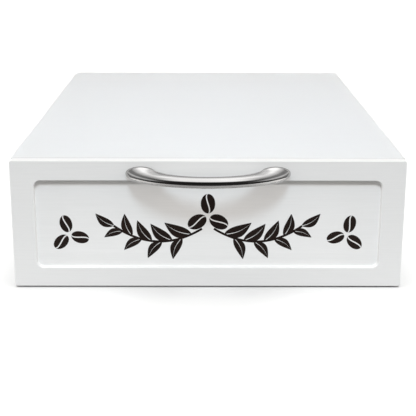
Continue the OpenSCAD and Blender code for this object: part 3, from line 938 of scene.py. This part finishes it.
side_beans = {"length": 12 * MM, "width": 8.2 * MM, "off_middle": 7.6 * MM}
left_beans = {"turn": 0.25, "middle": on_field(-93, -2), **side_beans}
right_beans = {"turn": -0.25, "middle": on_field(93, -2), **side_beans}
sprig_line = {"root": on_field(4, 2), "bend": on_field(34, -17), "tip": on_field(63, 4)}
prints = [grow(beans_tree, "print_beans_middle", brown_ink, middle=on_field(0, 11), length=13.5 * MM,
               off_middle=8.4 * MM),
          grow(beans_tree, "print_beans_left", brown_ink, **left_beans),
          grow(beans_tree, "print_beans_right", brown_ink, **right_beans),
          grow(sprig_tree, "print_sprig_left", brown_ink, mirror=-1.0, **sprig_line),
          grow(sprig_tree, "print_sprig_right", brown_ink, mirror=1.0, **sprig_line)]
for piece in prints:
    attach(piece, "drawer")

# %% [markdown]
# ## The balls of the slides
#
# Each slide runs on two rows of hardened balls, held in a cage between the rails. The construction's
# balls have flat spots from near, so rounder ones take their place. The rows are straight and the balls
# are alike, so one ball is copied to the points of two lines. The sizes are read from the construction:
# the balls' own box is one ball wide, and its corners touch the first and last ball.

# %% The rule of the rows
tree, size = start_growth("ball_rows", balls=8, radius=1.6 * MM, first=(0.0, 0.0, 0.0), step=(0.0, 1.0, 0.0),
                          between_rows=(0.0, 0.0, 1.0))
ball_size = {"Segments": 24, "Rings": 16, "Radius": size["radius"]}
ball = tree.node("GeometryNodeMeshUVSphere", {}, ball_size, out="Mesh")
rows = []
for start in (moved(tree, size["first"], size["between_rows"]), size["first"]):
    row = {"Count": size["balls"], "Start Location": start, "Offset": size["step"]}
    line = tree.node("GeometryNodeMeshLine", {"mode": "OFFSET"}, row)
    rows.append(tree.node("GeometryNodeInstanceOnPoints", {}, {"Points": line, "Instance": ball}))
end_growth(tree, joined(tree, rows), size["Finish"])
rows_tree = tree
print("rows tree:", len(tree.tree.nodes), "nodes")

# %% Two rows of balls in each slide
ROW_BALLS = 8
for side_name in ("left", "right"):
    low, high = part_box(side_name + "_slide_balls")
    radius = (high.x - low.x) / 2
    first = low + Vector((radius,) * 3)
    last = high - Vector((radius,) * 3)
    balls = grow(rows_tree, side_name + "_polished_balls", ball_steel, balls=ROW_BALLS, radius=radius,
                 first=first, step=(0, (last.y - first.y) / (ROW_BALLS - 1), 0),
                 between_rows=(0, 0, last.z - first.z))
    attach(balls, side_name + "_cage")
    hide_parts(side_name + "_slide_balls")

# %% [markdown]
# ## Floor
#
# The drawer stands on a white sweep, so wide that its edge is never seen. A plain white plane would be
# the first try. But it would throw so much light up at the front that its lower half would outshine the
# upper one. So the floor looks white, but only a share of its light bounces on, and only from close by.
# Polished metal looks like what stands round it, and in a white room the handle would be white on white.
# So the handle's mirror sees a floor of its own: dim under the grip, bright beside the feet, and dark
# further out, as if dark cards lay there. That draws the dark line along the bow. From below one can look
# through the floor.

# %% The floor's finish
FLOOR_WHITE = 0.62
BOUNCE = 0.32
BOUNCE_END = -0.36
DARK_SHARE = 0.03
MIRRORED_GRIP = 0.62
MIRRORED_FEET = 1.2
UNDER_GRIP = 0.06
BESIDE_FEET = 0.16
MIRRORED_END = -0.285
MIRRORED_ASIDE = 0.45
floor_finish, tree, shader = start_material("white_floor")
toward_back = place_along(tree, "Y")
aside = abs(place_along(tree, "X"))
bounce_share = ((toward_back > BOUNCE_END) * BOUNCE).math("MAXIMUM", DARK_SHARE)
mirror_share = MIRRORED_GRIP + rises(aside, UNDER_GRIP, BESIDE_FEET) * (MIRRORED_FEET - MIRRORED_GRIP)
mirror_share = mirror_share * (toward_back > MIRRORED_END) * (aside < MIRRORED_ASIDE)
mirror_share = mirror_share.math("MAXIMUM", DARK_SHARE)
is_bounce = tree.node("ShaderNodeLightPath", out="Is Diffuse Ray")
is_mirror = tree.node("ShaderNodeLightPath", out="Is Glossy Ray")
shown = 1 - is_bounce * (1 - bounce_share) - is_mirror * (1 - mirror_share)
tree.plug(shader.inputs["Base Color"], shown * FLOOR_WHITE)
shader.inputs["Roughness"].default_value = 0.9
shader.inputs["Specular IOR Level"].default_value = 0.0
from_below = tree.node("ShaderNodeNewGeometry", out="Backfacing")
clear = tree.node("ShaderNodeBsdfTransparent")
seen = tree.node("ShaderNodeMixShader", {}, {0: from_below, 1: Value(tree, shader.outputs[0]), 2: clear})
tree.plug(floor_finish.node_tree.nodes["Material Output"].inputs["Surface"], seen)
print("floor finish:", floor_finish.name)

# %% Lay the floor
FLOOR_HALF = 15.0
corners = [(-FLOOR_HALF, -FLOOR_HALF, 0), (FLOOR_HALF, -FLOOR_HALF, 0), (FLOOR_HALF, FLOOR_HALF, 0),
           (-FLOOR_HALF, FLOOR_HALF, 0)]
mesh = bpy.data.meshes.new("white_floor")
mesh.from_pydata(corners, [], [(0, 1, 2, 3)])
mesh.materials.append(floor_finish)
white_floor = bpy.data.objects.new("white_floor", mesh)
scene.collection.objects.link(white_floor)
print("floor", 2 * FLOOR_HALF, "m wide")

# %% [markdown]
# ## The room
#
# White paint on a white floor is drawn by light alone. A ready-made studio picture round the scene would
# be the quick way to light it. Here the room is a plain World that is split by direction, so that each
# side is set by itself. More light comes from the roof and from the sides of the room in front than from
# its middle, and it is slightly warm, so that shadows are warm too. What the camera itself sees behind
# the drawer is plain white. And mirrors see a third room, which is told in the next step.

# %% The room that gives light
BACK_LIGHT = 0.58
FRONT_LIGHT = 0.45
SIDE_LIGHT = 1.20
ROOF_LIGHT = 1.48
world = bpy.data.worlds.new("studio_room")
world.use_nodes = True
scene.world = world
tree = Tree(world.node_tree)
direction = tree.node("ShaderNodeTexCoord", out="Generated")
upward = direction.part("Z")
backward = direction.part("Y")
sideways = abs(direction.part("X"))


def above(start, end):
    """Goes from 0 to 1 between two heights above the horizon, in degrees."""
    return rises(upward, math.sin(math.radians(start)), math.sin(math.radians(end)))


behind = rises(backward, -0.04, 0.04)
front_room = FRONT_LIGHT + rises(sideways, 0.35, 0.85) * (SIDE_LIGHT - FRONT_LIGHT)
front_room = front_room + above(57, 63) * (ROOF_LIGHT - front_room)
room = behind * BACK_LIGHT + (1 - behind) * front_room
print("room light", BACK_LIGHT, FRONT_LIGHT, SIDE_LIGHT, ROOF_LIGHT)

# %% [markdown]
# ### The room in the mirror
#
# Polished metal is drawn by what it mirrors, so the bow has a room of its own. It is dark in front, up to
# the roof, and that is the black stripe along the bow. The walls get lighter towards the back and the
# sides. A window high in the back wall gives the broad light on top of the feet. Its upper part is
# brighter and narrower, which gives the thin highlight that runs down each foot and along the grip. The
# roof closes that highlight with a bright edge. The upper parts of the side walls show as light streaks
# at the feet, and they keep the bow from going black when it is seen from the side.

# %% What the handle's mirror sees of the room
MIRROR_DARK = 0.02
MIRROR_WALLS = 0.45
MIRROR_SIDES = 0.85
MIRROR_ROOF = 1.75
MIRROR_WINDOW = 0.95
MIRROR_GLARE = 1.8
low_sides = rises(sideways, 0.5, 0.9) * above(12, 30)
walls = MIRROR_DARK + rises(backward, -0.6, 0.95).math("MAXIMUM", low_sides) * MIRROR_WALLS
high_sides = rises(sideways, 0.58, 0.76) * above(22, 34) * MIRROR_SIDES
roof = above(62, 74) * MIRROR_ROOF
window = above(18, 32) * (1 - rises(sideways, 0.30, 0.52)) * MIRROR_WINDOW
glare = above(32, 46) * (1 - rises(sideways, 0.16, 0.40)) * MIRROR_GLARE
window = window.math("MAXIMUM", glare) * rises(backward, 0.05, 0.2)
mirrored_room = walls.math("MAXIMUM", high_sides).math("MAXIMUM", roof).math("MAXIMUM", window)
print("the mirror's room goes from", MIRROR_DARK, "to", MIRROR_GLARE)

# %% Choose the room by who looks
WARM_ROOM = (1.06, 1.0, 0.94, 1)
COOL_WHITE = (0.985, 0.992, 1.0, 1)
background = world.node_tree.nodes["Background"]
in_mirror = tree.node("ShaderNodeLightPath", out="Is Glossy Ray")
in_view = tree.node("ShaderNodeLightPath", out="Is Camera Ray")
strength = in_mirror * mirrored_room + in_view + (1 - in_mirror - in_view) * room
tree.plug(background.inputs["Strength"], strength)
tree.plug(background.inputs["Color"], blend(tree, in_mirror + in_view, WARM_ROOM, COOL_WHITE))
scene.view_settings.view_transform = "Standard"
print("world:", world.name, len(world.node_tree.nodes), "nodes")

# %% [markdown]
# ## The lamps
#
# One lamp would be enough to see by. Here each lamp has one job, so each can be set without a change to
# the others. A broad, slightly cool key lamp high above the front gives the shadows their direction:
# under the handle, and under the upper edge of the sunk field. A second lamp beside it, the fill, opens
# those shadows. The handle doesn't block the fill, so it throws one soft shadow instead of two. Both are
# Sun lamps, because they light the far floor as brightly as the near one. The top is lit by a lamp of its
# own that hangs above the front edge, so the top fades towards the back. The other lamps each light one
# thing: the floor from above, the shell from the left, the right and the back, and the underside from
# below. Light linking keeps each on its own pieces.

# %% Kinds of lamp
def hung(name, light):
    """Hangs a light in the scene. It lights but isn't seen itself, nor in the handle."""
    holder = bpy.data.objects.new(name, light)
    holder.visible_camera = False
    holder.visible_glossy = False
    scene.collection.objects.link(holder)
    return holder


def sun(name, raised, energy, angle, colour=(1, 1, 1), aside=0):
    """A Sun lamp at a height above the horizon, turned aside from the front."""
    light = bpy.data.lights.new(name, "SUN")
    light.energy = energy
    light.color = colour
    light.angle = math.radians(angle)
    holder = hung(name, light)
    beam = Vector((0, math.cos(math.radians(raised)), -math.sin(math.radians(raised))))
    beam.rotate(Matrix.Rotation(math.radians(aside), 3, "Z"))
    holder.matrix_world = beam.to_track_quat("-Z", "Y").to_matrix().to_4x4()
    return holder


def area_lamp(name, place, width, power, colour):
    """A square lamp that hangs at a place and looks straight down."""
    light = bpy.data.lights.new(name, "AREA")
    light.energy = power
    light.color = colour
    light.size = width
    holder = hung(name, light)
    holder.location = place
    return holder


def linked_pieces(name, pieces, state):
    """A collection for light linking, with one state for all its pieces."""
    collection = bpy.data.collections.new(name)
    for piece in pieces:
        collection.objects.link(piece)
    for linked in collection.collection_objects:
        linked.light_linking.link_state = state
    return collection


print("helpers ready: sun, area_lamp, linked_pieces")

# %% Lamps for the front, the top and the floor
key_lamp = sun("key_lamp", raised=46.8, energy=1.08, angle=13, colour=(0.86, 1.01, 1.13))
fill_lamp = sun("fill_lamp", raised=41, energy=1.10, angle=2.5, colour=(1.02, 1.0, 0.98))
over_edge = (0, face_y - 0.1, 0.79)
top_lamp = area_lamp("top_lamp", over_edge, width=0.4, power=1.69, colour=(0.88, 1.0, 1.12))
floor_lamp = sun("floor_lamp", raised=90, energy=1.75, angle=32)
top_board = painted["top_panel"]
no_handle_shadow = linked_pieces("no_handle_shadow", (handle, nodes["handle_screws"]), "EXCLUDE")
fill_lamp.light_linking.blocker_collection = no_handle_shadow
fill_lamp.light_linking.receiver_collection = linked_pieces("not_filled", [top_board], "EXCLUDE")
top_lamp.light_linking.receiver_collection = linked_pieces("lit_from_near", [top_board], "INCLUDE")
floor_lamp.light_linking.receiver_collection = linked_pieces("lit_from_above", [white_floor], "INCLUDE")
print("lamps:", key_lamp.name, fill_lamp.name, top_lamp.name, floor_lamp.name)

# %% Lamps for the sides, the back and the underside
SHELL = ("left_side_panel", "right_side_panel", "top_panel", "bottom_panel", "drawer_front")
shell = [painted[name] for name in SHELL] + [nodes["back_panel"], nodes["back_panel_screws"]]
lit_from_sides = linked_pieces("lit_from_sides", shell, "INCLUDE")
for name, aside in (("left_lamp", -82), ("right_lamp", 82), ("back_lamp", 180)):
    side_lamp = sun(name, raised=3, energy=1.0, angle=12, aside=aside)
    side_lamp.light_linking.receiver_collection = lit_from_sides
    side_lamp.light_linking.blocker_collection = no_handle_shadow
under_lamp = sun("under_lamp", raised=-90, energy=1.6, angle=30)
pads = [nodes[name] for name in nodes if name.endswith("pad")]
underside = [painted["bottom_panel"], nodes["bottom_panel_screws"]] + pads
under_lamp.light_linking.receiver_collection = linked_pieces("lit_from_below", underside, "INCLUDE")
under_lamp.light_linking.blocker_collection = linked_pieces("no_floor_shadow", [white_floor], "EXCLUDE")
print("side lamps light", len(shell), "pieces, the under lamp", len(underside))
